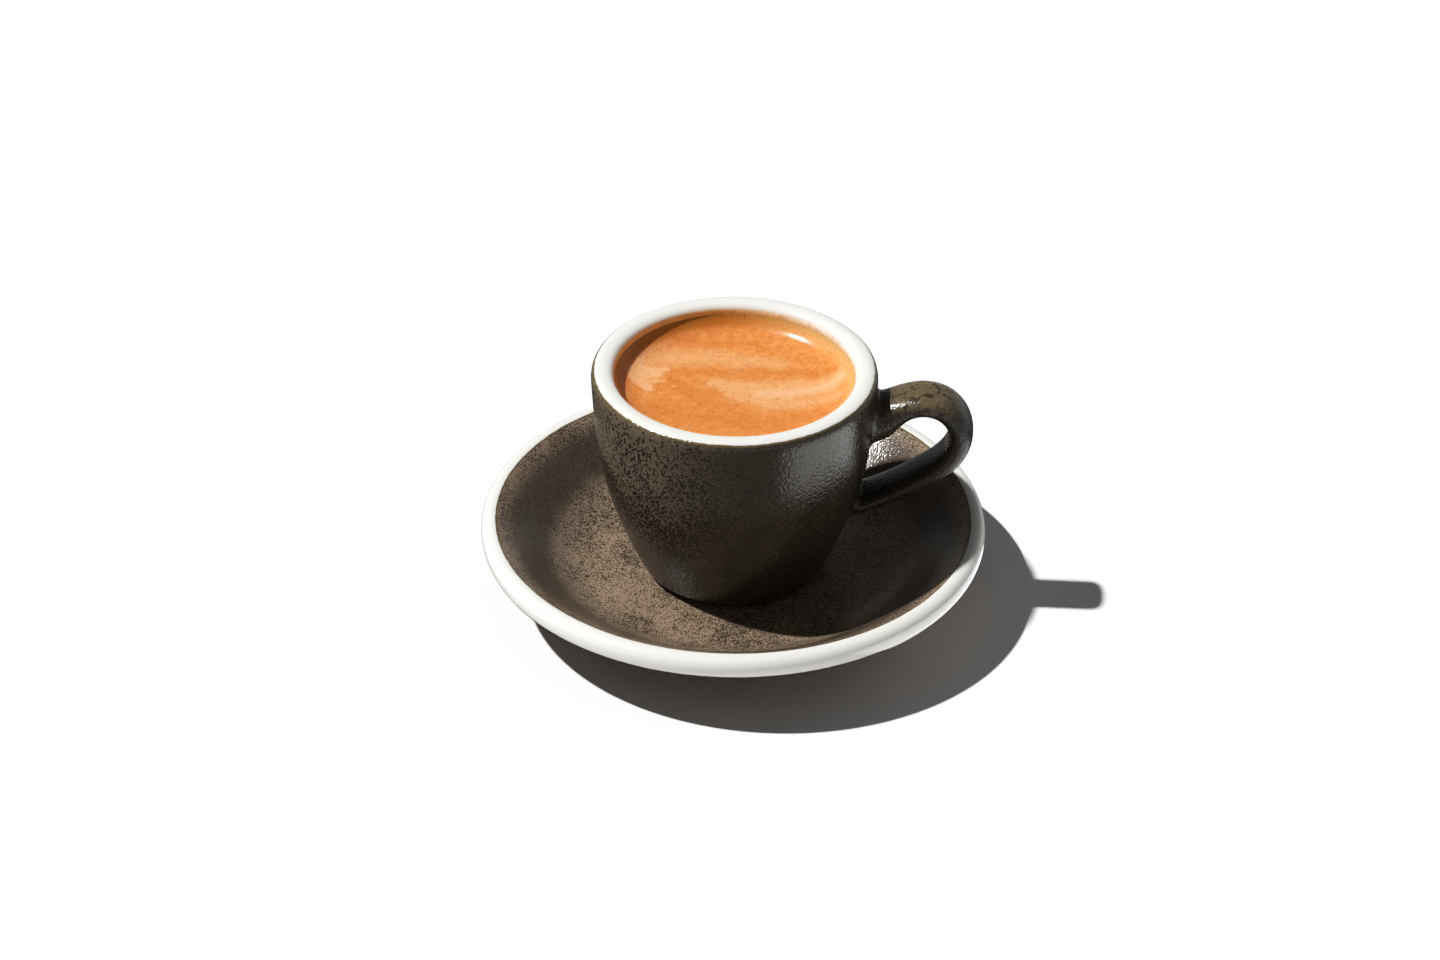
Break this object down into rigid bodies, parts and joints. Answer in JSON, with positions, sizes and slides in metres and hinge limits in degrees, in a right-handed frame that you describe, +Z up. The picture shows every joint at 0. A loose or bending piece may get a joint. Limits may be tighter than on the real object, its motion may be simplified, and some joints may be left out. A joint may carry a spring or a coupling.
{
  "type": "espresso shot in cup and saucer",
  "caption": "Espresso with crema in a thick stoneware cup with a loop handle, standing in its saucer.",
  "frame": {"origin": "on the table at the centre of the saucer's foot ring, which is the bottom centre of the box", "axes": "+Z up along the axis of the cup and the saucer, +X towards the cup's handle"},
  "size_m": [0.115, 0.115, 0.0581],
  "materials": {
    "saucer_glaze": "speckled satin brown glaze with a white rim",
    "cup_glaze": "speckled satin dark brown glaze with a white lip",
    "crema": "fine orange-brown foam with paler swirls"
  },
  "bodies": {
    "root": {"saucer": "saucer_glaze", "cup": "cup_glaze", "espresso": "crema"}
  },
  "joints": []
}
